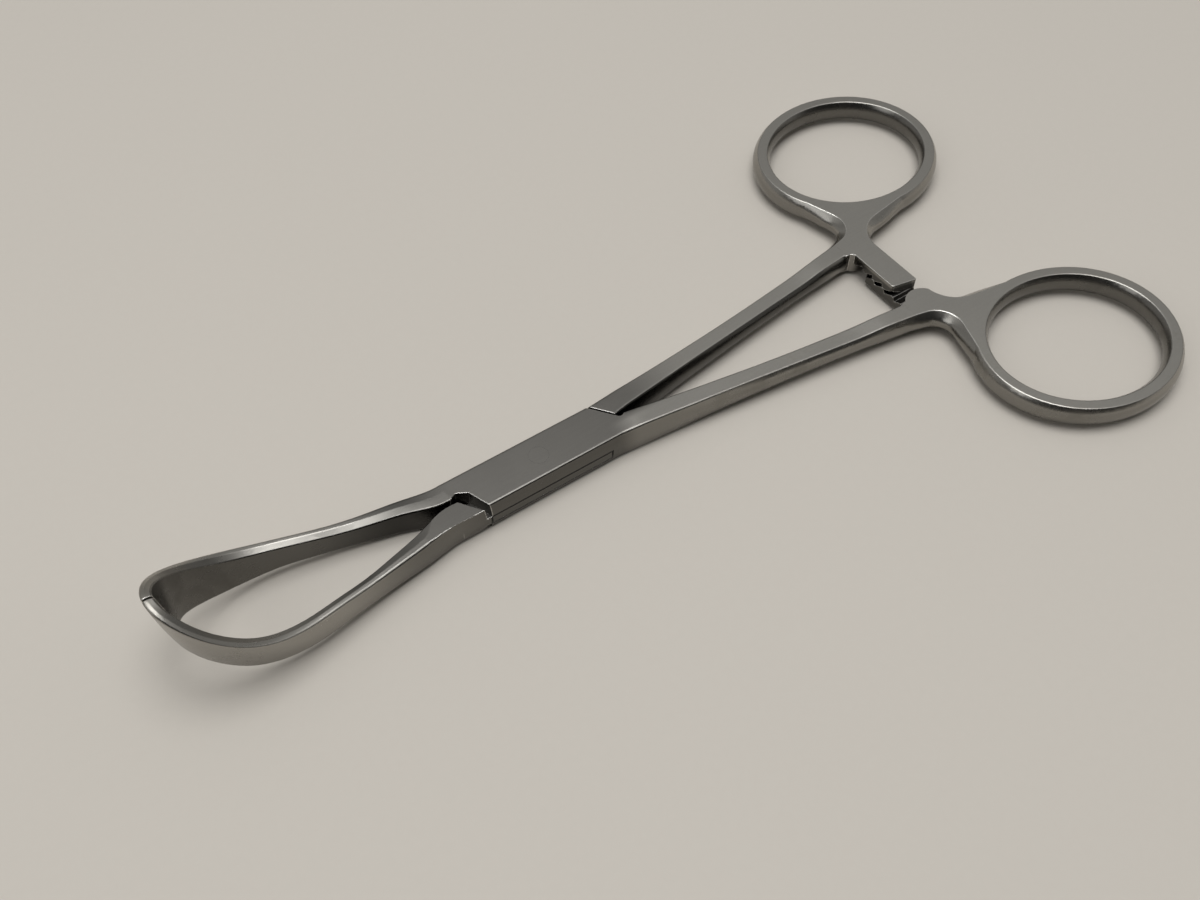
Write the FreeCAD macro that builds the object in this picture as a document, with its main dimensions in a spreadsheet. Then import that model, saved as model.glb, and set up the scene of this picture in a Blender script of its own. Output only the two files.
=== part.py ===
import FreeCAD, Part
import math
import os

Vector = FreeCAD.Vector
Z_AXIS = Vector(0, 0, 1)

os.makedirs("parts", exist_ok=True)
doc = FreeCAD.newDocument("towel_clamp")

# Driving dimensions. Lengths are in mm and angles in degrees. Reaches are measured from the pivot:
# towards the tips for the jaws and towards the finger rings for the shanks.
SIZES = [
    ("box_height", 4.6, "thickness of the box lock, which lies on the table"),
    ("box_half_width", 3.3, "half width of the box across its bulged sides"),
    ("box_side_bulge", 0.23, "how far the box sides stand out past the edges of the flat top"),
    ("box_end_reach", 11.4, "where the box's slanted end crosses the long axis"),
    ("box_corner_reach", 8.9, "where the slanted end meets the side of the box"),
    ("box_crotch_reach", 12.2, "where the box runs out into the far jaw and the near shank"),
    ("edge_round", 0.2, "rounding of the crisp top and bottom edges"),
    ("broad_round", 0.35, "rounding of the edges of the box, and of what leaves it"),
    ("slot_floor", 0.95, "height of the slot's floor above the underside of the box"),
    ("slot_height", 1.45, "height of the slot through the box"),
    ("slot_radius", 9.6, "radius of the round room in which the tongue turns"),
    ("sliding_clearance", 0.05, "gap above and below the tongue, and round its disc"),
    ("neck_clearance", 0.12, "gap beside the tongue's necks when the clamp is shut"),
    ("shoulder_gap", 0.3, "gap between the slanted box end and the far shank's shoulder"),
    ("jaw_shoulder_gap", 0.6, "gap between the other slanted end and the near jaw's shoulder"),
    ("jaw_step", 0.45, "drop of the near jaw's top below the box, at its shoulder"),
    ("jaw_step_length", 9.0, "how far along the near jaw that drop fades out"),
    ("bay_start_reach", 10.15, "where the box end facing the near jaw crosses the long axis"),
    ("bay_reach", 11.6, "deepest corner of the bay between that end and the far jaw"),
    ("bay_offset", 0.8, "distance of that corner from the long axis"),
    ("bay_round", 0.35, "rounding of the bay's corners"),
    ("notch_radius", 0.65, "radius of the round notch beside the near shank"),
    ("notch_reach", 12.2, "centre of that notch"),
    ("notch_offset", 0.05, "distance of that centre from the long axis"),
    ("neck_half_step", 0.35, "how far the tongue's necks pass the long axis"),
    ("pin_diameter", 2.6, "pivot pin"),
    ("pin_running_clearance", 0.03, "radial clearance of the pin in the tongue"),
    ("pin_seat_clearance", 0.01, "radial clearance of the pin in the box walls"),
    ("jaw_root_reach", 13.5, "where the jaw's straight flare begins"),
    ("jaw_root_width", 2.75, "width of the jaw at its root"),
    ("jaw_blade_width", 1.45, "width of the blade's top band along the loop"),
    ("jaw_foot_width", 1.3, "width of the blade's lower edge along the loop"),
    ("jaw_tip_width", 1.2, "width of the blade at the blunt tip"),
    ("jaw_side_bulge", 0.12, "how far the blade's outer side stands out along the loop"),
    ("jaw_taper_reach", 29.0, "where the blade reaches its full slimness"),
    ("flare_angle", 11.7, "angle between the straight part of the top edge and the long axis"),
    ("foot_flare_angle", 11.2, "the same for the lower edge"),
    ("loop_centre_reach", 38.85, "where the loop is widest"),
    ("loop_half_width", 6.56, "half width of the loop at the middle of the top band"),
    ("loop_depth", 9.24, "from the widest place to the tip, at the top band"),
    ("foot_centre_reach", 36.7, "where the lower edge's loop is widest"),
    ("foot_half_width", 5.97, "half width of the loop at the lower edge"),
    ("foot_depth", 10.3, "from the widest place to the tip, at the lower edge"),
    ("loop_shoulder_radius", 23.0, "radius that joins the flare to the widest place"),
    ("rise_slope", 0.147, "gentle climb of the top edge before the bend"),
    ("rise_start_reach", 22.4, "where the top edge starts to climb"),
    ("rise_bend_reach", 33.8, "where the top edge bends upwards"),
    ("rise_at_tip", 7.5, "extra height that the bend gives the top edge at the tip"),
    ("foot_slope", 0.073, "gentle climb of the lower edge"),
    ("foot_start_reach", 10.5, "where the lower edge starts to climb"),
    ("foot_bend_reach", 36.2, "where the lower edge bends upwards"),
    ("foot_rise_at_tip", 4.6, "extra height that the bend gives the lower edge at the tip"),
    ("bend_sharpness", 2.3, "power of the bends, 2 being a parabola"),
    ("top_bevel", 0.45, "drop of the bevel on the inner half of the blade's top"),
    ("blade_edge_round", 0.3, "rounding of the blade's outer top edge along the loop"),
    ("blade_foot_round", 0.4, "rounding of the blade's lower edges"),
    ("tip_gap", 0.3, "gap between the blunt tips when the clamp is shut"),
    ("root_relief", 0.01, "how far the tops of jaws and shanks start below the box's flat top"),
    ("foot_relief", 0.04, "how far the jaws' lower edges start above the table"),
    ("shank_root_reach", 10.0, "where the shank leaves the box"),
    ("shank_taper_reach", 13.6, "where the shank begins to grow thinner than the box"),
    ("shank_root_width", 3.25, "flat top of the shank at its root"),
    ("shank_waist_width", 1.9, "flat top of the shank at its slimmest"),
    ("shank_waist_reach", 38.7, "where the shank's top is slimmest"),
    ("shank_thin_height", 2.65, "least thickness of the shank"),
    ("shank_thin_reach", 47.0, "where the shank is thinnest"),
    ("shank_angle", 7.2, "angle between a shank and the long axis"),
    ("shank_offset", 3.2, "shank's centreline from the long axis at the offset reach"),
    ("shank_offset_reach", 24.0, "where that offset is taken"),
    ("shank_end_reach", 56.0, "end of the shank, inside the web"),
    ("shank_level_reach", 52.0, "where the shank is as thick as the web"),
    ("side_bulge", 0.6, "how far shank and ring sides stand out past the flat top"),
    ("bulge_full_reach", 30.0, "where the shank's sides reach that bulge"),
    ("shaft_gap", 0.3, "gap between the two shanks beside the box when the clamp is shut"),
    ("handle_height", 3.2, "thickness of the webs and finger rings"),
    ("ring_centre_reach", 71.6, "centre of a finger ring along the clamp"),
    ("ring_centre_offset", 23.6, "centre of a finger ring from the long axis"),
    ("ring_major", 13.7, "half length of the ring's middle line"),
    ("ring_minor", 12.0, "half width of the ring's middle line"),
    ("ring_tilt", 6.3, "how far the ring's long axis turns outwards"),
    ("ring_band", 1.4, "width of the ring's flat top"),
    ("neck_reach", 60.4, "outer side of the neck between shank and ring"),
    ("neck_offset", 12.4, "where on the neck that is taken, from the long axis"),
    ("outer_cove_radius", 3.4, "radius of the cove between shank and ring"),
    ("inner_cove_radius", 4.9, "radius of the cove between ring and ratchet arm"),
    ("inner_cove_offset", 9.2, "where the edges that this cove joins would meet, from the long axis"),
    ("cove_bulge", 1.1, "how far the coves' walls stand out past their top edges"),
    ("web_start_reach", 52.8, "where the web begins in the shank"),
    ("crotch_radius", 2.1, "radius between shank and ratchet arm"),
    ("arm_reach", 57.1, "side of the ratchet arm nearer the pivot"),
    ("arm_width", 3.9, "width of the ratchet arm"),
    ("arm_overrun", 3.35, "how far the ratchet arm passes the long axis"),
    ("arm_end_slant", 11.2, "how far the arm's end turns from square"),
    ("arm_corner_round", 0.5, "rounding of the arm's end towards the pivot"),
    ("arm_step_offset", 4.6, "distance from the long axis of the step where the arm thins"),
    ("arm_step_depth", 1.1, "how far the step falls back to the arm's sides"),
    ("arm_step_radius", 2.7, "radius of that step, seen from above"),
    ("arm_step_reach", 58.8, "where the step is nearest the long axis"),
    ("tooth_pitch", 2.0, "spacing of the ratchet teeth"),
    ("tooth_depth", 0.62, "depth of the ratchet teeth"),
    ("tooth_lean", 0.3, "share of the pitch taken by a tooth's steep side"),
    ("tooth_clearance", 0.06, "gap between the tooth tips of the two arms"),
]

sheet = doc.addObject("Spreadsheet::Sheet", "sizes")
for row, (alias, number, note) in enumerate(SIZES, start=1):
    sheet.set("A%d" % row, note)
    sheet.set("B%d" % row, str(number))
    sheet.setAlias("B%d" % row, alias)
doc.recompute()


def size(alias):
    return float(sheet.get(alias))


def tie(thing, **expressions):
    for prop, expression in expressions.items():
        thing.setExpression(prop.replace("__", "."), expression)
    return thing


def feature(name, shape):
    thing = doc.addObject("Part::Feature", name)
    thing.Shape = shape
    return thing


def rounded_profile(corners, radii, place):
    """Closed wire of lines and tangent arcs; place maps a flat point to space."""
    count = len(corners)
    flat = [Vector(x, y, 0) for x, y in corners]
    starts, middles, ends = [], [], []
    for index in range(count):
        corner = flat[index]
        back = (flat[index - 1] - corner).normalize()
        ahead = (flat[(index + 1) % count] - corner).normalize()
        half = back.getAngle(ahead) / 2
        reach = radii[index] / math.tan(half)
        inward = (back + ahead).normalize()
        starts.append(corner + back * reach)
        middles.append(corner + inward * (radii[index] / math.sin(half) - radii[index]))
        ends.append(corner + ahead * reach)
    edges = []
    for index in range(count):
        arc = Part.Arc(place(starts[index]), place(middles[index]), place(ends[index]))
        edges.append(arc.toShape())
        following = (index + 1) % count
        edges.append(Part.makeLine(place(ends[index]), place(starts[following])))
    return Part.Wire(edges)


def side_corner(height, bulge, edge):
    """How far the corner that a convex side rounds off stands out, and the side's radius."""
    up = height / 2
    turn = 2 * math.atan(bulge / up)
    taken = 1.1 * edge * math.tan((math.pi / 2 - turn) / 2)
    return up * math.tan(turn), (up / math.cos(turn) - taken) / math.tan(turn)


def bar_profile(width, height, bulge, edge, place):
    """Flat top and bottom with rounded edges, and convex sides that stand out by the bulge."""
    half, up = width / 2, height / 2
    out, broad = side_corner(height, bulge, edge)
    corners = [(half, up), (-half, up), (-half - out, 0), (-half, -up), (half, -up), (half + out, 0)]
    return rounded_profile(corners, [edge, edge, broad, edge, edge, broad], place)


def middle_height():
    return size("box_height") / 2


def root_bulge():
    """Bulge with which jaws and shanks leave the box, just inside its own."""
    return size("box_side_bulge") - size("foot_relief") / 2


# Jaw: a blade that flares out, closes the loop and bends upwards to a blunt tip

def ramp(distance, easing=6.0):
    if distance <= 0:
        return 0.0
    if distance < easing:
        return distance * distance / (2 * easing)
    return distance - easing / 2


def bend(reach, start, tip, rise):
    return rise * max(0.0, (reach - start) / (tip - start)) ** size("bend_sharpness")


def loop_line(reach, centre, half_width, angle):
    """Distance of a blade edge from the long axis, up to the widest place of the loop."""
    radius = size("loop_shoulder_radius")
    turn = math.radians(angle)
    start = centre - radius * math.sin(turn)
    if reach > start:
        return half_width - radius + math.sqrt(radius ** 2 - (centre - reach) ** 2)
    return half_width - radius * (1 - math.cos(turn)) - math.tan(turn) * (start - reach)


def top_height(reach):
    climb = size("rise_slope") * ramp(reach - size("rise_start_reach"))
    tip = size("loop_centre_reach") + size("loop_depth")
    start = size("box_height") - size("root_relief")
    return start + climb + bend(reach, size("rise_bend_reach"), tip, size("rise_at_tip"))


def foot_height(reach):
    climb = size("foot_slope") * ramp(reach - size("foot_start_reach"))
    tip = size("foot_centre_reach") + size("foot_depth")
    start = size("foot_relief")
    return start + climb + bend(reach, size("foot_bend_reach"), tip, size("foot_rise_at_tip"))


def blade_widths(reach):
    """Top and foot widths: full at the root, slim from the taper reach on."""
    root, slim = size("jaw_root_reach"), size("jaw_taper_reach")
    share = min(max((reach - root) / (slim - root), 0.0), 1.0)
    fade = (1 - share) ** 1.6
    top = size("jaw_blade_width") + (size("jaw_root_width") - size("jaw_blade_width")) * fade
    foot = size("jaw_foot_width") + (size("jaw_root_width") - size("jaw_foot_width")) * fade
    return top, foot


def blade_section(top, foot, outward, top_width, foot_width, bevel, bulge, edge):
    rise = top - foot
    height = rise.Length
    upward = rise.normalize()
    crisp, low = size("edge_round"), size("blade_foot_round")
    out, broad = side_corner(height, bulge, low)
    corners = [
        (foot_width / 2, 0),
        ((foot_width + top_width) / 4 + out, height / 2),
        (top_width / 2, height),
        (0.05 * top_width, height),
        (-top_width / 2, height - bevel),
        (-foot_width / 2, 0),
    ]
    return rounded_profile(corners, [low, broad, edge, crisp, crisp, low],
                           lambda p: foot + outward * p.x + upward * p.y)


def jaw_blade():
    """Far jaw, with the pivot on the Z axis and the tips towards -X."""
    sections = []
    root_line = size("box_half_width") - size("box_side_bulge") - size("jaw_root_width") / 2
    root, centre = size("jaw_root_reach"), size("loop_centre_reach")
    flare, foot_flare = size("flare_angle"), size("foot_flare_angle")
    lean = centre - size("foot_centre_reach")
    side = Vector(0, 1, 0)
    slim_bulge, slim_edge = size("jaw_side_bulge"), size("blade_edge_round")
    for reach in (root - 4.5, root - 3.0, root - 1.5, root):
        top = Vector(-reach, root_line, top_height(0))
        foot = Vector(-reach, root_line, foot_height(0))
        width = size("jaw_root_width")
        sections.append(blade_section(top, foot, side, width, width, size("edge_round") / 4, root_bulge(),
                                      size("broad_round")))
    steps = 6
    for step in range(1, steps):
        share = step / steps
        reach = root + (centre - root) * share
        foot_reach = reach - lean * share
        top_line = loop_line(reach, centre, size("loop_half_width"), flare)
        foot_line = loop_line(foot_reach, size("foot_centre_reach"), size("foot_half_width"), foot_flare)
        line = top_line + (foot_line - top_line) * share
        top = Vector(-reach, top_line, top_height(reach))
        foot = Vector(-foot_reach, line, foot_height(foot_reach))
        widths = blade_widths(reach)
        bevel = size("top_bevel") * min(share * 2, 1.0)
        bulge = root_bulge() + (slim_bulge - root_bulge()) * share
        edge = size("broad_round") + (slim_edge - size("broad_round")) * share
        sections.append(blade_section(top, foot, side, widths[0], widths[1], bevel, bulge, edge))
    for turn in (0, 20, 38, 54, 68, 80, 90):
        angle = math.radians(turn)
        share = turn / 90
        reach = centre + size("loop_depth") * math.sin(angle)
        foot_reach = size("foot_centre_reach") + size("foot_depth") * math.sin(angle)
        top = Vector(-reach, size("loop_half_width") * math.cos(angle), top_height(reach))
        foot = Vector(-foot_reach, size("foot_half_width") * math.cos(angle), foot_height(foot_reach))
        outward = Vector(-size("loop_half_width") * math.sin(angle), size("loop_depth") * math.cos(angle), 0)
        top_width = size("jaw_blade_width") + (size("jaw_tip_width") - size("jaw_blade_width")) * share
        foot_width = size("jaw_foot_width") + (size("jaw_tip_width") - size("jaw_foot_width")) * share
        bevel = size("top_bevel") * (1 - 0.6 * share)
        outward.normalize()
        sections.append(blade_section(top, foot, outward, top_width, foot_width, bevel, slim_bulge, slim_edge))
    blade = Part.makeLoft(sections, True, False)
    reach = size("loop_centre_reach") + size("loop_depth")
    gap = Part.makeBox(2 * reach, size("tip_gap"), 2 * reach, Vector(-2 * reach, -size("tip_gap") / 2, -reach))
    return blade.cut(gap)


# Shank, web, finger ring and ratchet arm of one handle

def shank_line(reach):
    slope = math.tan(math.radians(size("shank_angle")))
    return size("shank_offset") + slope * (reach - size("shank_offset_reach"))


def shank_width(reach):
    waist = size("shank_waist_reach")
    growth = (size("shank_root_width") - size("shank_waist_width")) / (waist - size("shank_root_reach")) ** 2
    return size("shank_waist_width") + growth * (reach - waist) ** 2


def shank_height(reach):
    thin, least = size("shank_thin_reach"), size("shank_thin_height")
    relief = 2 * size("root_relief")
    if reach <= thin:
        share = min((thin - reach) / (thin - size("shank_taper_reach")), 1.0)
        return least + (size("box_height") - relief - least) * share ** 1.8
    share = min((reach - thin) / (size("shank_level_reach") - thin), 1.0)
    return least + (size("handle_height") + relief - least) * share * share * (3 - 2 * share)


def shank_sides(reach):
    """Bulge of the sides and rounding of the edges: the box's at the root, the handle's further on."""
    root = size("shank_root_reach")
    share = min(max((reach - root) / (size("bulge_full_reach") - root), 0.0), 1.0)
    bulge = root_bulge() + (size("side_bulge") - root_bulge()) * share
    return bulge, size("broad_round") + (size("edge_round") - size("broad_round")) * share


def shank_bar():
    root, thin = size("shank_root_reach"), size("shank_thin_reach")
    level, last = size("shank_level_reach"), size("shank_end_reach")
    taper = size("shank_taper_reach")
    stations = [root - 2, root, (root + taper) / 2, taper]
    stations += [taper + (thin - taper) * step / 7 for step in range(1, 8)]
    stations += [thin + (level - thin) * step / 4 for step in range(1, 5)]
    stations += [level + (last - level) * step / 3 for step in range(1, 4)]
    sections = []
    for reach in stations:
        centre = Vector(reach, shank_line(reach), middle_height())
        bulge, edge = shank_sides(reach)
        sections.append(bar_profile(shank_width(reach), shank_height(reach), bulge, edge,
                                    lambda p, c=centre: c + Vector(0, p.x, p.y)))
    past = Part.makeBox(size("bulge_full_reach"), size("box_height"), size("box_height"),
                        Vector(0, size("shaft_gap") / 2 - size("box_height"), 0))
    return Part.makeLoft(sections, True, False).cut(past)


def ring_frame():
    centre = Vector(size("ring_centre_reach"), size("ring_centre_offset"), middle_height())
    return FreeCAD.Placement(centre, FreeCAD.Rotation(Z_AXIS, size("ring_tilt")))


def ring_path():
    path = doc.addObject("Part::Ellipse", "ring_path")
    tie(path, MajorRadius="sizes.ring_major", MinorRadius="sizes.ring_minor",
        Placement__Base__x="sizes.ring_centre_reach", Placement__Base__y="sizes.ring_centre_offset",
        Placement__Base__z="sizes.box_height / 2")
    path.Placement.Rotation = FreeCAD.Rotation(Z_AXIS, size("ring_tilt"))
    tie(path, Placement__Rotation__Angle="sizes.ring_tilt * 1 deg")
    return path


def finger_ring():
    path = ring_path()
    frame = ring_frame()
    start = Vector(size("ring_major"), 0, 0)
    profile = bar_profile(size("ring_band"), size("handle_height"), size("side_bulge"), size("edge_round"),
                          lambda p: frame.multVec(start + Vector(p.x, 0, p.y)))
    section = feature("ring_section", profile)
    ring = doc.addObject("Part::Sweep", "ring")
    ring.Sections = [section]
    ring.Spine = (path, ["Edge1"])
    ring.Solid = True
    ring.Frenet = False
    doc.recompute()
    return ring


def fillet_path(start, corner, end, radius):
    """Line, tangent arc and line, as points evenly spread from start to end."""
    back = (start - corner).normalize()
    ahead = (end - corner).normalize()
    half = back.getAngle(ahead) / 2
    first = corner + back * (radius / math.tan(half))
    last = corner + ahead * (radius / math.tan(half))
    middle = corner + (back + ahead).normalize() * (radius / math.sin(half) - radius)
    path = Part.Wire([Part.makeLine(start, first), Part.Arc(first, middle, last).toShape(),
                      Part.makeLine(last, end)])
    return path.discretize(13)


def flank(points, bulges, shift, height):
    """Smooth edge beside a path: bulges give its start, cove and end distance, to the left if positive."""
    shifted = []
    count = len(points) - 1
    for index, point in enumerate(points):
        along = points[min(index + 1, count)] - points[max(index - 1, 0)]
        left = Vector(-along.y, along.x, 0).normalize()
        share = index / count
        side = bulges[0] + (bulges[2] - bulges[0]) * share
        side += (bulges[1] - (bulges[0] + bulges[2]) / 2) * math.sin(math.pi * share) ** 2
        spot = point + left * (side * shift[0] + shift[1])
        shifted.append(Vector(spot.x, spot.y, height))
    curve = Part.BSplineCurve()
    curve.interpolate(shifted)
    return curve.toShape()


def line_crossing(first, second, third, fourth):
    run, other = second - first, fourth - third
    share = ((third.x - first.x) * other.y - (third.y - first.y) * other.x) / (run.x * other.y - run.y * other.x)
    return first + run * share


def ring_tangent(point, inset, side):
    """Where the line from a point touches the ring's outer edge, moved inwards by the inset."""
    frame = ring_frame()
    grow = size("ring_band") / 2 - inset
    major, minor = size("ring_major") + grow, size("ring_minor") + grow
    local = frame.inverse().multVec(Vector(point.x, point.y, middle_height()))
    across, up = local.x / major, local.y / minor
    turn = math.atan2(up, across) + side * math.acos(1 / math.hypot(across, up))
    touch = frame.multVec(Vector(major * math.cos(turn), minor * math.sin(turn), 0))
    return Vector(touch.x, touch.y, 0)


def web_paths():
    """Top edges of the web: shank to ring, ring to ratchet arm, and ratchet arm to shank."""
    start = size("web_start_reach")
    tuck = 0.15
    near_side, far_side = size("arm_reach"), size("arm_reach") + size("arm_width")
    step = size("arm_step_offset")

    def shank_edge(reach, side, inset):
        return Vector(reach, shank_line(reach) + side * (shank_width(reach) / 2 - inset), 0)

    neck = Vector(size("neck_reach"), size("neck_offset"), 0)
    ring_left = ring_tangent(neck, tuck, -1)
    outer_start, outer_run = shank_edge(start, 1, tuck), shank_edge(size("arm_reach"), 1, -tuck)
    outer_corner = line_crossing(outer_start, outer_run, neck, ring_left)
    outer = fillet_path(outer_start, outer_corner, ring_left, size("outer_cove_radius"))

    inner_corner = Vector(far_side, size("inner_cove_offset"), 0)
    ring_low = ring_tangent(inner_corner, tuck, 1)
    inner = fillet_path(ring_low, inner_corner, Vector(far_side, step - 1, 0), size("inner_cove_radius"))

    crotch_end, crotch_run = shank_edge(start, -1, tuck), shank_edge(size("arm_reach"), -1, -tuck)
    arm_side = Vector(near_side, step - 1, 0)
    crotch_corner = line_crossing(crotch_end, crotch_run, Vector(near_side, 0, 0), arm_side)
    crotch = fillet_path(arm_side, crotch_corner, crotch_end, size("crotch_radius"))
    return outer, inner, crotch


def web_level(height, shift):
    """Closed outline of the web at one height."""
    outer, inner, crotch = web_paths()
    bulge, cove = size("side_bulge"), size("cove_bulge")
    centre = Vector(size("ring_centre_reach"), size("ring_centre_offset"), height)
    flanks = [
        flank(outer, (bulge, cove, bulge), shift, height),
        flank(inner, (bulge, cove, 0.0), shift, height),
        flank(crotch, (0.0, bulge, bulge), shift, height),
    ]
    first, second, third = flanks
    return Part.Wire([
        first,
        Part.makeLine(first.Vertexes[-1].Point, centre),
        Part.makeLine(centre, second.Vertexes[0].Point),
        second,
        Part.makeLine(second.Vertexes[-1].Point, third.Vertexes[0].Point),
        third,
        Part.makeLine(third.Vertexes[-1].Point, first.Vertexes[0].Point),
    ])


def web_blank():
    """Plate with convex walls and narrow chamfers along its top and bottom edges."""
    middle, half = middle_height(), size("handle_height") / 2
    chamfer = size("edge_round") / 2
    walls = Part.makeLoft([
        web_level(middle - half + chamfer, (0, 0)),
        web_level(middle, (1, 0)),
        web_level(middle + half - chamfer, (0, 0)),
    ], True, False)
    below = Part.makeLoft([web_level(middle - half, (0, -chamfer)),
                           web_level(middle - half + chamfer, (0, 0))], True, True)
    above = Part.makeLoft([web_level(middle + half - chamfer, (0, 0)),
                           web_level(middle + half, (0, -chamfer))], True, True)
    return walls.fuse(below).fuse(above)


def web_plate(ring_shape):
    body = web_blank()
    step, radius = size("arm_step_offset"), size("arm_step_radius")
    past = Part.makeBox(3 * size("arm_width"), step + size("arm_step_depth"), size("box_height"),
                        Vector(size("arm_reach") - size("arm_width"), 0, 0))
    end = Part.makeCylinder(radius, size("box_height"), Vector(size("arm_step_reach"), step + radius, 0))
    body = body.cut(past.cut(end))
    middle_line = Part.Ellipse(Vector(), size("ring_major"), size("ring_minor"))
    disc = Part.Face(Part.Wire(middle_line.toShape())).extrude(Vector(0, 0, size("box_height")))
    disc.Placement = ring_frame()
    disc.translate(Vector(0, 0, -size("box_height") / 2))
    return body.cut(disc.cut(ring_shape))


def ratchet_arm(teeth_up):
    """Arm that passes the long axis at half thickness, with teeth towards the other arm."""
    middle = middle_height()
    half = size("handle_height") / 2
    tip, root = size("tooth_clearance") / 2, size("tooth_clearance") / 2 + size("tooth_depth")
    pitch = size("tooth_pitch")
    inside = size("arm_step_offset") + size("arm_step_depth") + 0.3
    profile = [(inside, half), (-size("arm_overrun"), half), (-size("arm_overrun"), tip)]
    teeth = math.ceil((size("arm_step_offset") + size("arm_overrun")) / pitch)
    line = -size("arm_overrun")
    for _ in range(teeth):
        flank = pitch * size("tooth_lean")
        profile += [(line + 0.25 * pitch, tip), (line + 0.25 * pitch + flank * 0.5, root), (line + pitch, tip)]
        line += pitch
    profile += [(inside, tip)]
    sign = -1 if teeth_up else 1
    points = [Vector(size("arm_reach"), y, middle + sign * z) for y, z in profile]
    face = Part.Face(Part.makePolygon(points + points[:1]))
    toothed = face.extrude(Vector(size("arm_width"), 0, 0))
    return toothed.common(arm_outline(inside)).common(arm_section(inside))


def arm_outline(inside):
    """Room of the ratchet arm seen from above, with its slanted end."""
    near_side, width, overrun = size("arm_reach"), size("arm_width"), size("arm_overrun")
    near_end = width * math.tan(math.radians(size("arm_end_slant"))) - overrun
    corners = [(near_side, near_end), (near_side + width, -overrun),
               (near_side + width, inside), (near_side, inside)]
    crisp = size("edge_round")
    outline = rounded_profile(corners, [size("arm_corner_round"), crisp, crisp, crisp], lambda p: p)
    return Part.Face(outline).extrude(Vector(0, 0, size("box_height")))


def arm_section(inside):
    """Room of the ratchet arm seen from its end, with rounded edges."""
    half, middle = size("handle_height") / 2, middle_height()
    near_side, far_side = size("arm_reach"), size("arm_reach") + size("arm_width")
    corners = [(near_side, middle - half), (far_side, middle - half),
               (far_side, middle + half), (near_side, middle + half)]
    start = -size("arm_overrun") - 1
    section = rounded_profile(corners, [size("edge_round") / 2] * 4, lambda p: Vector(p.x, start, p.y))
    return Part.Face(section).extrude(Vector(0, inside + 1 - start, 0))


def mirrored(name, source):
    mirror = doc.addObject("Part::Mirroring", name)
    mirror.Source = source
    mirror.Normal = Vector(0, 1, 0)
    mirror.Base = Vector()
    return mirror


# Box lock: the box, its slot, and the tongue that passes through it

def box_outline(extra=0.0):
    """Corners of the box seen from above; extra widens it past its slanted ends."""
    side = size("box_half_width") + 1.0
    end, corner, crotch = size("box_end_reach"), size("box_corner_reach"), size("box_crotch_reach")
    slope = (end - corner) / size("box_half_width")
    slant = extra / math.cos(math.atan(slope))
    low_corner = corner - slope * (side - size("box_half_width")) + slant
    half = [
        (-low_corner, -side),
        (-end - slant, 0),
        (-crotch, size("neck_half_step")),
        (-crotch - 1.2, side),
    ]
    return half + [(-x, -y) for x, y in half]


def prism(corners, low, height):
    points = [Vector(x, y, low) for x, y in corners]
    return Part.Face(Part.makePolygon(points + points[:1])).extrude(Vector(0, 0, height))


def jaw_shoulder_room():
    """What the near jaw gives up: room for the box end, and the drop of its top beside it."""
    room = prism(box_outline(size("jaw_shoulder_gap")), -1, size("box_height") + 2)
    start, top, drop = size("box_corner_reach"), size("box_height"), size("jaw_step")
    corners = [(start, top + 1), (start, top - drop), (start + size("jaw_step_length"), top),
               (start + size("jaw_step_length"), top + 1)]
    points = [Vector(-reach, -size("box_height"), height) for reach, height in corners]
    wedge = Part.Face(Part.makePolygon(points + points[:1])).extrude(Vector(0, 2 * size("box_height"), 0))
    return room.fuse(wedge)


def crotch_notches():
    """Bay between box end and far jaw, and the round notch beside the near shank."""
    height, outside = size("box_height") + 2, size("box_half_width") + 1
    corner, start, step = size("box_corner_reach"), size("bay_start_reach"), size("neck_half_step")
    lean = (start - corner) / size("box_half_width")
    corners = [(-start + lean * outside, -outside), (-start, 0), (-size("bay_reach"), size("bay_offset")),
               (-size("box_crotch_reach") - step, step), (-size("box_crotch_reach") - step, -outside)]
    bend, crisp = size("bay_round"), size("edge_round") / 4
    bay = Part.Face(rounded_profile(corners, [crisp, bend, bend, crisp, crisp],
                                    lambda p: p - Z_AXIS)).extrude(Vector(0, 0, height))
    notch = Part.makeCylinder(size("notch_radius"), height,
                              Vector(size("notch_reach"), size("notch_offset"), -1))
    return bay.fuse(notch)


def box_bar():
    """Bar from which the box is cut, with the section that box and tongue share."""
    length = 2 * size("box_crotch_reach") + 4
    width = 2 * (size("box_half_width") - size("box_side_bulge"))
    profile = bar_profile(width, size("box_height"), size("box_side_bulge"), size("broad_round"),
                          lambda p: Vector(-length / 2, p.x, middle_height() + p.y))
    return Part.Face(profile).extrude(Vector(length, 0, 0))


def neck_outline(clearance):
    """Passage of the tongue's two necks, from the round room past the box ends."""
    step, crotch = size("neck_half_step"), size("box_crotch_reach")
    side = size("box_half_width") + 2
    quarter = [
        (0, -side),
        (-crotch - 3, -side),
        (-crotch - 3, -size("neck_half_step") + clearance),
        (-size("slot_radius") + 0.6, step - 0.12 + clearance),
        (0, step - 0.12 + clearance),
    ]
    return quarter, [(-x, -y) for x, y in quarter]


def slot_space():
    low, height = size("slot_floor"), size("slot_height")
    room = Part.makeCylinder(size("slot_radius"), height, Vector(0, 0, low))
    first, second = neck_outline(size("neck_clearance"))
    return room.fuse([prism(first, low, height), prism(second, low, height)])


def tongue(bar):
    """Flat tongue with a round middle, cut to the same section as the box."""
    gap = size("sliding_clearance")
    low, height = size("slot_floor") + gap, size("slot_height") - 2 * gap
    disc = Part.makeCylinder(size("slot_radius") - gap, height, Vector(0, 0, low))
    first, second = neck_outline(0)
    body = disc.fuse([prism(first, low, height), prism(second, low, height)])
    reach = size("box_crotch_reach") + 0.8
    width = 2 * size("box_half_width")
    keep = Part.makeBox(2 * reach, width, size("box_height"), Vector(-reach, -width / 2, 0))
    return body.common(keep).common(bar)


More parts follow.
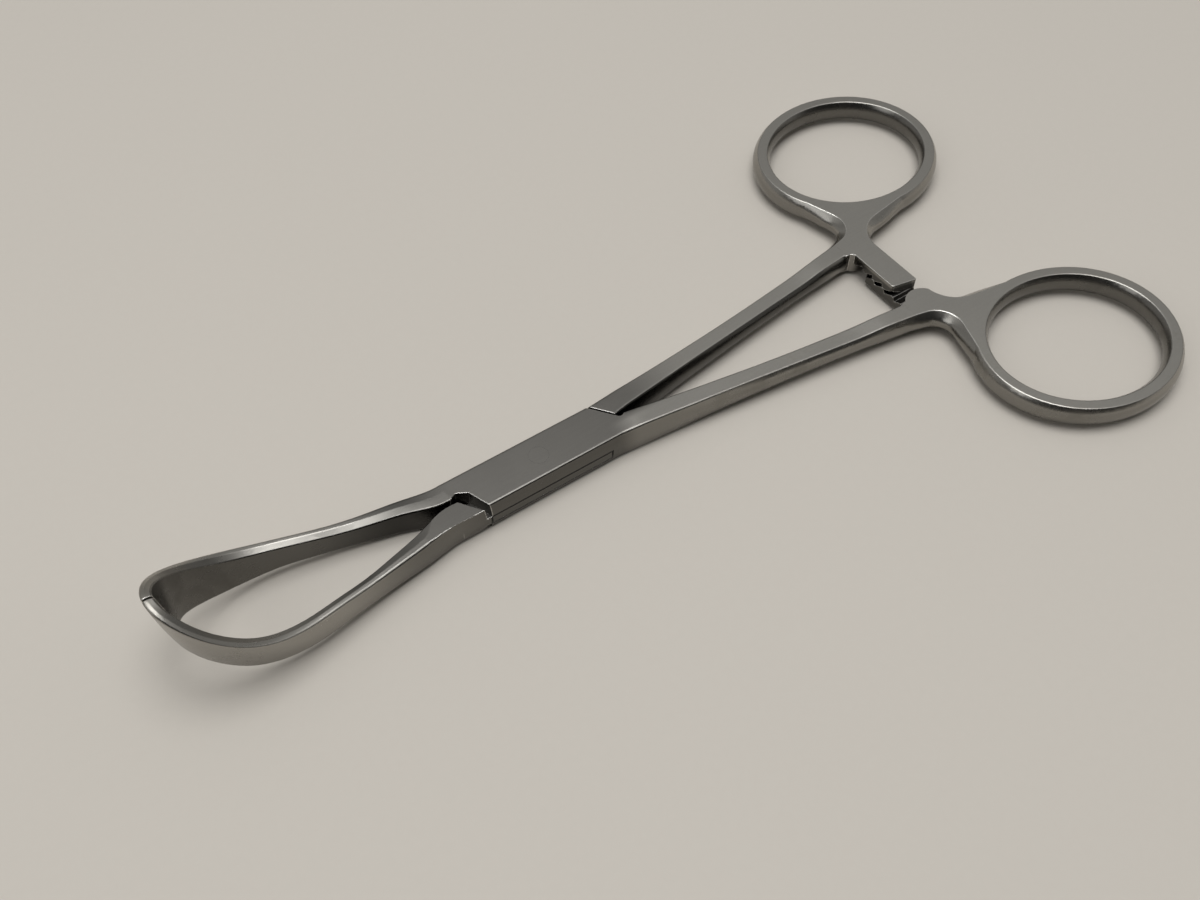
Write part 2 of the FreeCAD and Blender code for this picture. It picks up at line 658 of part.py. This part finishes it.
def pin_hole(clearance):
    hole = doc.addObject("Part::Cylinder", "pin_hole")
    tie(hole, Radius="sizes.pin_diameter / 2 + sizes.%s" % clearance, Height="sizes.box_height")
    return hole


def fused(name, base, tool):
    union = doc.addObject("Part::Fuse", name)
    union.Base = base
    union.Tool = tool
    union.Refine = False
    return union


def cut(name, base, tool):
    difference = doc.addObject("Part::Cut", name)
    difference.Base = base
    difference.Tool = tool
    difference.Refine = False
    return difference


def pivot_pin():
    body = doc.addObject("PartDesign::Body", "pivot_pin")
    body.Label = "pivot_pin"
    sketch = body.newObject("Sketcher::SketchObject", "pin_circle")
    plane = [f for f in body.Origin.OriginFeatures if f.Role == "XY_Plane"][0]
    sketch.AttachmentSupport = [(plane, "")]
    sketch.MapMode = "FlatFace"
    sketch.addGeometry(Part.Circle(Vector(), Z_AXIS, size("pin_diameter") / 2))
    import Sketcher
    sketch.addConstraint(Sketcher.Constraint("Coincident", 0, 3, -1, 1))
    sketch.addConstraint(Sketcher.Constraint("Diameter", 0, size("pin_diameter")))
    sketch.setExpression("Constraints[1]", "sizes.pin_diameter")
    pad = body.newObject("PartDesign::Pad", "pin_length")
    pad.Profile = sketch
    tie(pad, Length="sizes.box_height")
    return body


ring = finger_ring()
shank = feature("shank", shank_bar())
web = feature("web", web_plate(ring.Shape))
handle = fused("handle", fused("shank_and_web", shank, web), ring)
arm_over = feature("arm_over", ratchet_arm(False))
arm_under = feature("arm_under", ratchet_arm(True))
handle_far = fused("handle_far", handle, arm_over)
handle_near = mirrored("handle_near", fused("handle_turned", handle, arm_under))

jaw_far = feature("jaw_far", jaw_blade())
jaw_near = mirrored("jaw_near", jaw_far)

bar = box_bar()
box = feature("box", bar.common(prism(box_outline(), 0, size("box_height"))))
slot = feature("slot", slot_space().fuse(crotch_notches()))
shoulders = feature("shoulders", prism(box_outline(size("shoulder_gap")), -1, size("box_height") + 2))
jaw_shoulders = feature("jaw_shoulders", jaw_shoulder_room())
tongue_piece = feature("tongue", tongue(bar))

female_blank = fused("female_blank", fused("box_and_jaw", box, jaw_far), handle_near)
female_slotted = cut("female_slotted", female_blank, slot)
female_half = cut("female_half", female_slotted, pin_hole("pin_seat_clearance"))

male_jaw = cut("male_jaw", jaw_near, jaw_shoulders)
male_handle = cut("male_handle", handle_far, shoulders)
male_blank = fused("male_blank", fused("tongue_and_jaw", tongue_piece, male_jaw), male_handle)
male_half = cut("male_half", male_blank, pin_hole("pin_running_clearance"))
pin = pivot_pin()

female_half.Label = "female_half"
male_half.Label = "male_half"
doc.recompute()

# The clamp's frame lies under the middle of its length, so every piece moves along X by the same amount
outline = female_half.Shape.fuse(male_half.Shape).optimalBoundingBox(False)
middle = FreeCAD.Placement(Vector(-(outline.XMin + outline.XMax) / 2, 0, 0), FreeCAD.Rotation())
pieces = (female_half, male_half, pin)
for piece in pieces:
    piece.Placement = middle
doc.recompute()
print("pivot at x = %.4f mm" % middle.Base.x)

for thing in doc.Objects:
    if "Invalid" in thing.State or "Error" in thing.State:
        raise RuntimeError("%s failed: %s" % (thing.Label, thing.State))
for piece in pieces:
    if piece.Shape.isNull() or not piece.Shape.isValid():
        raise RuntimeError("%s has no valid shape" % piece.Label)
    if len(piece.Shape.Solids) != 1:
        raise RuntimeError("%s has %d solids" % (piece.Label, len(piece.Shape.Solids)))
    piece.Shape.exportStep("parts/%s.step" % piece.Label)
    print(piece.Label, len(piece.Shape.Faces), "faces", round(piece.Shape.Volume, 2), "mm3")
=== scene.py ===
import bpy
from math import radians
from mathutils import Euler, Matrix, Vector


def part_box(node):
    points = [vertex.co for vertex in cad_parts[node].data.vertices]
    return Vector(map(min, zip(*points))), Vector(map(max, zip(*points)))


bl_info = {
    "name": "Towel clamp looks",
    "version": (1, 0, 0),
    "blender": (4, 5, 0),
    "location": "3D View > Sidebar > Towel Clamp",
    "description": "Finishes the towel clamp's steel pieces and sets the stage around them",
    "category": "Object",
}

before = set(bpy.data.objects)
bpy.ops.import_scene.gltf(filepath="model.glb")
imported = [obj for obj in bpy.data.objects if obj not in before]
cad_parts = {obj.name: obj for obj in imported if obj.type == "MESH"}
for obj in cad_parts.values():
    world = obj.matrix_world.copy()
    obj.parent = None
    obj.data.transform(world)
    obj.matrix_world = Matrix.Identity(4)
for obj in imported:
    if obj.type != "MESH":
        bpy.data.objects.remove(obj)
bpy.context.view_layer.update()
BOX_LOW, BOX_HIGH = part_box("pivot_pin")
PIVOT = (BOX_LOW + BOX_HIGH) / 2

# Places on the clamp, in metres, that its finish and its painted shade follow
RING_CENTRE = Vector((PIVOT.x + 0.0716, 0.0236, 0))
LOOP_CENTRE = PIVOT.x - 0.037
SLOT_FLOOR, SLOT_ROOF = 0.00096, 0.00239
SLOT_END = 0.0090
SEAM_WIDTH = (0.00011, 0.00021)
ARM_SIDES = (0.0378, 0.04275)
TEETH_REACH = (0.0045, 0.0055)
TEETH_TOP = (0.0032, 0.0036)
PIN_RIM = (0.0017, 0.0021)


# Shader maths

class Wire:
    """One output socket, with which sums and products can be written as plain expressions."""

    def __init__(self, nodes, socket):
        self.nodes = nodes
        self.socket = socket

    def math(self, operation, other=None):
        values = {0: self}
        if other is not None:
            values[1] = other
        return self.nodes.add("ShaderNodeMath", {"operation": operation}, values)

    def __add__(self, other):
        return self.math("ADD", other)

    __radd__ = __add__

    def __mul__(self, other):
        return self.math("MULTIPLY", other)

    __rmul__ = __mul__

    def __sub__(self, other):
        return self.math("SUBTRACT", other)

    def __rsub__(self, other):
        return self.nodes.add("ShaderNodeMath", {"operation": "SUBTRACT"}, {0: other, 1: self})

    def step(self, low, high):
        """0 below low, 1 above high, and smooth between."""
        settings = {"interpolation_type": "SMOOTHSTEP"}
        return self.nodes.add("ShaderNodeMapRange", settings, {"Value": self, 1: low, 2: high})


class Nodes:
    """Adds nodes to one material or world tree."""

    def __init__(self, tree):
        self.tree = tree
        self.tree.nodes.clear()

    def add(self, kind, settings=None, inputs=None, output=0):
        node = self.tree.nodes.new(kind)
        for name, value in (settings or {}).items():
            if name == "stops":
                self.fill_ramp(node, value)
            else:
                setattr(node, name, value)
        for key, value in (inputs or {}).items():
            socket = node.inputs[key]
            if isinstance(value, Wire):
                self.tree.links.new(value.socket, socket)
            else:
                socket.default_value = value
        return Wire(self, node.outputs[output])

    def fill_ramp(self, node, stops):
        elements = node.color_ramp.elements
        while len(elements) < len(stops):
            elements.new(0.5)
        for element, (place, colour) in zip(elements, stops):
            element.position = place
            element.color = colour

    def end(self, kind, name, wire):
        node = self.tree.nodes.new(kind)
        self.tree.links.new(wire.socket, node.inputs[name])

    def place(self):
        """Object coordinates, in metres."""
        return self.add("ShaderNodeTexCoord", output="Object")

    def stretched(self, place, scale, turn=0.0):
        inputs = {"Vector": place, "Scale": scale, "Rotation": (0.0, 0.0, turn)}
        return self.add("ShaderNodeMapping", {"vector_type": "POINT"}, inputs)

    def noise(self, place, scale, detail=3.0, roughness=0.55, distortion=0.0):
        inputs = {"Vector": place, "Scale": scale, "Detail": detail,
                  "Roughness": roughness, "Distortion": distortion}
        return self.add("ShaderNodeTexNoise", {}, inputs)

    def part_of(self, vector, axis):
        return self.add("ShaderNodeSeparateXYZ", {}, {0: vector}, output=axis)

    def compare(self, operation, first, second):
        """Dot product or distance of two vectors."""
        inputs = {0: first, 1: second}
        return self.add("ShaderNodeVectorMath", {"operation": operation}, inputs, output="Value")

    def faces(self, facing, ahead, sideways):
        """1 where a surface looks along the level direction given, 0 where it doesn't."""
        way = self.add("ShaderNodeCombineXYZ", {}, {0: ahead, 1: sideways, 2: 0.0})
        way = self.add("ShaderNodeVectorMath", {"operation": "NORMALIZE"}, {0: way}, output=0)
        return self.compare("DOT_PRODUCT", facing, way).step(0.25, 0.6)

    def times(self, tint, factor):
        grey = self.add("ShaderNodeCombineColor", {}, {0: factor, 1: factor, 2: factor})
        settings = {"data_type": "RGBA", "blend_type": "MULTIPLY"}
        return self.add("ShaderNodeMix", settings, {0: 1.0, 6: tint, 7: grey}, output=2)

    def mix_colour(self, share, first, second):
        settings = {"data_type": "RGBA"}
        return self.add("ShaderNodeMix", settings, {0: share, 6: first, 7: second}, output=2)


def colour(values):
    return (*values, 1.0)


# Sizes and colours that a user may change

class SteelFinish(bpy.types.PropertyGroup):
    base: bpy.props.FloatVectorProperty(
        name="Steel colour", description="Reflection colour of the satin steel",
        subtype="COLOR", size=3, min=0, max=1, default=(0.345, 0.333, 0.308))
    # Painted highlight, partly wear: the colour that sharp edges are mixed towards
    worn_and_highlight: bpy.props.FloatVectorProperty(
        name="Worn colour", description="Colour where edges and high spots are rubbed bright",
        subtype="COLOR", size=3, min=0, max=1, default=(0.78, 0.765, 0.73))
    dull: bpy.props.FloatVectorProperty(
        name="Dull colour", description="Colour of faint stains and handling marks",
        subtype="COLOR", size=3, min=0, max=1, default=(0.25, 0.239, 0.213))
    # Painted shade: the colour of the line that stands for the shade in the gap round the tongue
    seam: bpy.props.FloatVectorProperty(
        name="Seam colour", description="Colour of the dark line round the slot in the box's side",
        subtype="COLOR", size=3, min=0, max=1, default=(0.008, 0.008, 0.007))
    # Painted shade on the sides that face the loop or a ring's hole
    inner: bpy.props.FloatProperty(
        name="Inner sides", description="How much darker the sides are that face the loop or a ring's hole",
        min=0, max=1, default=0.62)
    # Painted shade in the teeth between the ratchet arms
    teeth: bpy.props.FloatProperty(
        name="Teeth", description="How much darker the teeth between the ratchet arms are",
        min=0, max=1, default=0.65)
    # Painted shade: how much darker the steel is painted round the box lock
    joint_shade: bpy.props.FloatProperty(
        name="Joint", description="How much duller the steel is round the box lock",
        min=0, max=1, default=0.5)
    roughness: bpy.props.FloatProperty(
        name="Roughness", description="How much the satin finish blurs what it reflects",
        min=0, max=1, default=0.34)
    grain: bpy.props.FloatProperty(
        name="Grain size", description="Width of the marks left by the satin grinding",
        unit="LENGTH", default=0.00022)
    edge: bpy.props.FloatProperty(
        name="Edge softness", description="Radius over which sharp edges catch the light",
        unit="LENGTH", default=0.00016)


class StageSetting(bpy.types.PropertyGroup):
    floor: bpy.props.FloatVectorProperty(
        name="Floor colour", description="Colour of the table top",
        subtype="COLOR", size=3, min=0, max=1, default=(0.53, 0.497, 0.448))
    reach: bpy.props.FloatProperty(
        name="Floor size", description="Length of the table's side",
        unit="LENGTH", default=6.0)
    key: bpy.props.FloatProperty(
        name="Key lamp", description="Power of the large lamp overhead, behind the clamp",
        unit="POWER", default=3.2)
    fill: bpy.props.FloatProperty(
        name="Fill lamp", description="Power of the lamp on the left",
        unit="POWER", default=0.5)
    shadow: bpy.props.FloatProperty(
        name="Dark side", description="How much darker the room is in front of the clamp",
        min=0, max=1, default=0.92)
    sky: bpy.props.FloatProperty(
        name="Room light", description="Strength of the light from the room",
        default=1.2)


class CameraSetting(bpy.types.PropertyGroup):
    azimuth: bpy.props.FloatProperty(
        name="Azimuth", description="Turn of the view round the clamp",
        subtype="ANGLE", default=radians(-34.54))
    elevation: bpy.props.FloatProperty(
        name="Elevation", description="Height of the view above the table plane",
        subtype="ANGLE", default=radians(52.06))
    distance: bpy.props.FloatProperty(
        name="Distance", description="Distance from the camera to the point it looks at",
        unit="LENGTH", default=0.1628)
    ahead: bpy.props.FloatProperty(
        name="Aim", description="How far the point looked at lies from the clamp's middle, towards the rings",
        unit="LENGTH", default=-0.00985)
    lens: bpy.props.FloatProperty(
        name="Lens", description="Focal length on a 36 mm wide sensor",
        default=37.5)


# Finishes, with painted shade and painted highlight

def painted_shade(nodes, finish, place, facing, from_pin):
    """Painted shade: how much of its brightness the steel keeps, less round the box lock, on inner sides, in
    the teeth and on upright sides near the box.
    """
    along, across, height = (nodes.part_of(place, axis) for axis in range(3))
    upright = nodes.part_of(facing, 2).math("ABSOLUTE")

    # Painted shade on sides facing the loop or a ring's hole
    inward = nodes.faces(facing, along.math("MAXIMUM", LOOP_CENTRE) - along, 0.0 - across)
    inward = inward * (1.0 - along.step(0.030, 0.036))
    in_ring = nodes.faces(facing, RING_CENTRE.x - along, across.math("SIGN") * RING_CENTRE.y - across)
    inward = inward + in_ring * along.step(0.040, 0.044) * 0.6

    jaw_side = 1.0 - along.step(PIVOT.x - 0.010, PIVOT.x - 0.002)
    near_shank = along.step(PIVOT.x + 0.0095, PIVOT.x + 0.0135) * (1.0 - across.step(-0.0018, -0.0006))
    # Painted shade round the box lock, stronger at the far jaw's root, weaker on the near shank
    joint_shade = (1.0 - (from_pin - jaw_side * 0.006).step(0.012, 0.026)) * (1.0 - near_shank * 0.9)
    far_root = (1.0 - along.step(PIVOT.x - 0.018, PIVOT.x - 0.011)) * across.step(0.0005, 0.0025)

    # Painted shade in the teeth between the ratchet arms
    low, high = ARM_SIDES
    arms = along.step(low - 0.0002, low + 0.0002) * (1.0 - along.step(high - 0.00025, high + 0.00025))
    teeth = arms * (1.0 - across.math("ABSOLUTE").step(*TEETH_REACH)) * (1.0 - height.step(*TEETH_TOP))
    # Painted shade on upright sides near the box
    walls = (1.0 - upright.step(0.2, 0.6)) * along.step(PIVOT.x - 0.014, PIVOT.x - 0.008)

    kept = (1.0 - inward * finish.inner) * (1.0 - joint_shade * finish.joint_shade * (1.0 + far_root * 0.45))
    return kept * (1.0 - teeth * finish.teeth) * (1.0 - walls * 0.28)


def slot_seam_shade(nodes, place, facing):
    """Painted shade: the dark line round the tongue, on the upright sides of the box, wider than the gap
    whose shade it stands for.
    """
    along, across, height = (nodes.part_of(place, axis) for axis in range(3))
    reach = (along - PIVOT.x).math("ABSOLUTE")
    seam = 0.0
    for line in (SLOT_FLOOR, SLOT_ROOF):
        seam = seam + (1.0 - (height - line).math("ABSOLUTE").step(*SEAM_WIDTH))
    end = 1.0 - (reach - SLOT_END).math("ABSOLUTE").step(*SEAM_WIDTH)
    seam = seam + end * height.step(0.0009, 0.00095) * (1.0 - height.step(0.0024, 0.00245))
    beside = across.math("ABSOLUTE").step(0.0022, 0.0024) * (1.0 - reach.step(0.00905, 0.00915))
    upright = nodes.part_of(facing, 2).math("ABSOLUTE")
    return (seam * beside * (1.0 - upright.step(0.2, 0.6))).math("MINIMUM", 1.0)


def steel(name, finish, ground=0.0):
    """Satin stainless steel with painted shade and painted highlight. Ground is how strongly straight
    grinding marks show.
    """
    material = bpy.data.materials.new(name)
    material.use_nodes = True
    nodes = Nodes(material.node_tree)
    place = nodes.place()
    facing = nodes.add("ShaderNodeTexCoord", output="Normal")
    grain_scale = 1 / finish.grain
    grain = nodes.noise(place, grain_scale, 2.0)
    lines = nodes.noise(nodes.stretched(place, (0.06, 1.0, 1.0), radians(4)), grain_scale * 0.8, 2.0)
    blotches = nodes.noise(place, 130.0, 4.0, 0.6, 0.4)
    broad = nodes.noise(place, 38.0, 2.0)
    stains = blotches.step(0.52, 0.72) * broad.step(0.45, 0.65)
    scratch_place = nodes.stretched(place, (0.05, 1.0, 1.0), radians(27))
    scratches = nodes.noise(scratch_place, 1500.0, 1.0).step(0.69, 0.74) * blotches.step(0.4, 0.6)

    # Painted highlight, partly wear, on sharp edges, but not round the flush pin nor where the far jaw's top
    # runs into the box's
    soft_normal = nodes.add("ShaderNodeBevel", {"samples": 6}, {"Radius": finish.edge})
    flat_normal = nodes.add("ShaderNodeNewGeometry", output="Normal")
    from_pin = nodes.compare("DISTANCE", place, (PIVOT.x, PIVOT.y, BOX_HIGH.z))
    jaw_side = 1.0 - nodes.part_of(place, 0).step(PIVOT.x - 0.010, PIVOT.x - 0.002)
    flatness = nodes.part_of(flat_normal, 2).step(0.985, 0.995)
    root_line = from_pin.step(0.0114, 0.0118) * (1.0 - from_pin.step(0.0146, 0.0150)) * flatness * jaw_side
    edged = from_pin.step(*PIN_RIM) * (1.0 - root_line)
    edge = (1.0 - nodes.compare("DOT_PRODUCT", soft_normal, flat_normal)).step(0.004, 0.05) * edged
    soft_normal = nodes.add("ShaderNodeMix", {"data_type": "VECTOR"},
                            {0: edged, 4: flat_normal, 5: soft_normal}, output=1)

    tint = nodes.mix_colour(stains * 0.75, colour(finish.base), colour(finish.dull))
    tint = nodes.times(tint, 0.9 + grain * 0.12 + lines * (0.08 * (1 + ground)))
    # Painted shade round the box lock, on inner sides, in the teeth and on upright sides near the box
    tint = nodes.times(tint, painted_shade(nodes, finish, place, facing, from_pin))
    # Painted highlight, partly wear, mixed into sharp edges
    rubbed_and_highlit = (edge * (0.55 + blotches * 0.5)).math("MINIMUM", 1.0)
    tint = nodes.mix_colour(rubbed_and_highlit, tint, colour(finish.worn_and_highlight))
    # Painted shade in the gap round the tongue
    tint = nodes.mix_colour(slot_seam_shade(nodes, place, facing), tint, colour(finish.seam))

    relief = grain * 0.5 + lines * (0.35 + ground) - scratches * 0.5
    bump = nodes.add("ShaderNodeBump", {}, {"Strength": 0.12, "Distance": 0.00004,
                                            "Height": relief, "Normal": soft_normal})
    level = nodes.part_of(facing, 2).math("ABSOLUTE").step(0.8, 0.98)
    rough = finish.roughness * (0.8 + level * 0.2)
    rough = rough + grain * 0.05 + blotches * 0.06 + stains * 0.1 - edge * 0.1
    shader = nodes.add("ShaderNodeBsdfPrincipled", {}, {
        "Base Color": tint, "Metallic": 1.0, "Roughness": rough - 0.07, "Normal": bump})
    nodes.end("ShaderNodeOutputMaterial", "Surface", shader)
    return material


def table_top(setting):
    """Pale matt table top with a faint fleck, which fades into the backdrop far from the clamp."""
    material = bpy.data.materials.new("table_top")
    material.use_nodes = True
    nodes = Nodes(material.node_tree)
    place = nodes.place()
    fleck = nodes.noise(place, 900.0, 3.0, 0.6)
    cloud = nodes.noise(place, 9.0, 2.0)
    top = nodes.times(colour(setting.floor), 0.972 + fleck * 0.03 + cloud * 0.026)
    far = nodes.compare("DISTANCE", place, (0.0, 0.0, 0.0)).step(0.25, 0.75)
    black = (0.0, 0.0, 0.0, 1.0)
    shader = nodes.add("ShaderNodeBsdfPrincipled", {}, {
        "Base Color": nodes.mix_colour(far, top, black), "Roughness": 0.85,
        "Emission Color": nodes.mix_colour(far, black, colour(setting.floor)), "Emission Strength": 1.0})
    nodes.end("ShaderNodeOutputMaterial", "Surface", shader)
    return material


def room_light(setting):
    """Bright ceiling, dim walls, and a pale backdrop round the table."""
    world = bpy.data.worlds.new("room")
    bpy.context.scene.world = world
    world.use_nodes = True
    nodes = Nodes(world.node_tree)
    direction = nodes.add("ShaderNodeTexCoord", output="Generated")
    east, north, up = (nodes.part_of(direction, axis) for axis in range(3))
    stops = [
        (0.0, (0.40, 0.39, 0.37, 1)),
        (0.50, (0.20, 0.198, 0.192, 1)),
        (0.62, (0.34, 0.336, 0.326, 1)),
        (0.72, (0.22, 0.217, 0.21, 1)),
        (0.78, (0.26, 0.257, 0.25, 1)),
        (0.83, (0.40, 0.397, 0.388, 1)),
        (0.895, (0.33, 0.327, 0.32, 1)),
        (0.93, (0.55, 0.546, 0.54, 1)),
        (1.0, (1.0, 0.995, 0.985, 1)),
    ]
    ramp = nodes.add("ShaderNodeValToRGB", {"stops": stops}, {0: up * 0.5 + 0.5})
    front = 0.0 - east * 0.57 - north * 0.82
    strength = setting.sky * (1.0 - front.step(0.1, 0.5) * setting.shadow)
    camera_ray = nodes.add("ShaderNodeLightPath", output="Is Camera Ray")
    glossy_ray = nodes.add("ShaderNodeLightPath", output="Is Glossy Ray")
    seen = camera_ray.math("MAXIMUM", glossy_ray * (1.0 - up.step(0.0, 0.14)))
    room = nodes.add("ShaderNodeBackground", {}, {0: ramp, 1: strength})
    backdrop = nodes.add("ShaderNodeBackground", {}, {0: colour(setting.floor), 1: 1.0})
    shown = nodes.add("ShaderNodeMixShader", {}, {0: seen, 1: room, 2: backdrop})
    nodes.end("ShaderNodeOutputWorld", "Surface", shown)


def dress(node, material):
    """Gives a CAD node its finish."""
    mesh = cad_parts[node].data
    mesh.materials.clear()
    mesh.materials.append(material)


def lamp(name, power, size, place, aim):
    bpy.ops.object.light_add(type="AREA", location=place)
    light = bpy.context.object
    light.name = name
    light.data.energy = power
    light.data.shape = "DISK"
    light.data.size = size
    light.rotation_euler = (Vector(place) - Vector(aim)).to_track_quat("Z", "Y").to_euler()
    return light


# Operators

class CLAMP_OT_halves(bpy.types.Operator):
    """Finish both halves of the clamp in satin steel, with painted shade and painted highlight"""
    bl_idname = "clamp.halves"
    bl_label = "Finish the halves"

    def execute(self, context):
        finish = context.scene.clamp_steel
        dress("female_half", steel("satin_steel_box_side", finish))
        dress("male_half", steel("satin_steel_tongue_side", finish))
        return {"FINISHED"}


class CLAMP_OT_pin(bpy.types.Operator):
    """Finish the pivot pin, which is ground flush with the box"""
    bl_idname = "clamp.pin"
    bl_label = "Finish the pin"

    def execute(self, context):
        dress("pivot_pin", steel("pin_steel", context.scene.clamp_steel, 0.3))
        return {"FINISHED"}


class CLAMP_OT_stage(bpy.types.Operator):
    """Lay the table top and set the lamps"""
    bl_idname = "clamp.stage"
    bl_label = "Set the stage"

    def execute(self, context):
        setting = context.scene.clamp_stage
        bpy.ops.mesh.primitive_plane_add(size=setting.reach, location=(0, 0, 0))
        floor = context.object
        floor.name = "table"
        floor.data.materials.append(table_top(setting))
        room_light(setting)
        key = lamp("key", setting.key, 0.60, (-0.02, 0.0, 0.72), PIVOT)
        fill = lamp("fill", setting.fill, 0.40, (-0.50, -0.05, 0.38), PIVOT)
        return {"FINISHED"}


class CLAMP_OT_camera(bpy.types.Operator):
    """Place the camera at the photograph's viewing angle"""
    bl_idname = "clamp.camera"
    bl_label = "Place the camera"

    def execute(self, context):
        setting = context.scene.clamp_camera
        turn = Euler((radians(90) - setting.elevation, 0, setting.azimuth))
        back = Vector((0, 0, 1))
        back.rotate(turn)
        aim = Vector((setting.ahead, -0.0002, -0.0008))
        bpy.ops.object.camera_add(location=aim + back * setting.distance, rotation=turn)
        camera = context.object
        camera.data.lens = setting.lens
        camera.data.sensor_width = 36
        camera.data.sensor_fit = "HORIZONTAL"
        camera.data.clip_start = 0.005
        camera.data.clip_end = 20
        context.scene.camera = camera
        return {"FINISHED"}


class CLAMP_PT_panel(bpy.types.Panel):
    """Sizes, colours and steps of the towel clamp's looks"""
    bl_idname = "CLAMP_PT_panel"
    bl_label = "Towel clamp"
    bl_space_type = "VIEW_3D"
    bl_region_type = "UI"
    bl_category = "Towel Clamp"

    def draw(self, context):
        for group in (context.scene.clamp_steel, context.scene.clamp_stage, context.scene.clamp_camera):
            box = self.layout.box()
            for name in group.bl_rna.properties.keys():
                if name not in ("rna_type", "name"):
                    box.prop(group, name)
        for operator in STEPS:
            self.layout.operator(operator.bl_idname)


STEPS = (CLAMP_OT_halves, CLAMP_OT_pin, CLAMP_OT_stage, CLAMP_OT_camera)
GROUPS = {"clamp_steel": SteelFinish, "clamp_stage": StageSetting, "clamp_camera": CameraSetting}


def register():
    for group in GROUPS.values():
        bpy.utils.register_class(group)
    for item in STEPS + (CLAMP_PT_panel,):
        bpy.utils.register_class(item)
    for name, group in GROUPS.items():
        setattr(bpy.types.Scene, name, bpy.props.PointerProperty(type=group))


def unregister():
    for name in GROUPS:
        delattr(bpy.types.Scene, name)
    for item in (CLAMP_PT_panel,) + STEPS + tuple(GROUPS.values()):
        bpy.utils.unregister_class(item)


def main():
    register()
    bpy.ops.object.select_all(action="DESELECT")
    bpy.context.scene.view_settings.view_transform = "Standard"
    bpy.ops.clamp.halves()
    bpy.ops.clamp.pin()
    bpy.ops.clamp.stage()
    bpy.ops.clamp.camera()


if __name__ == "__main__":
    main()
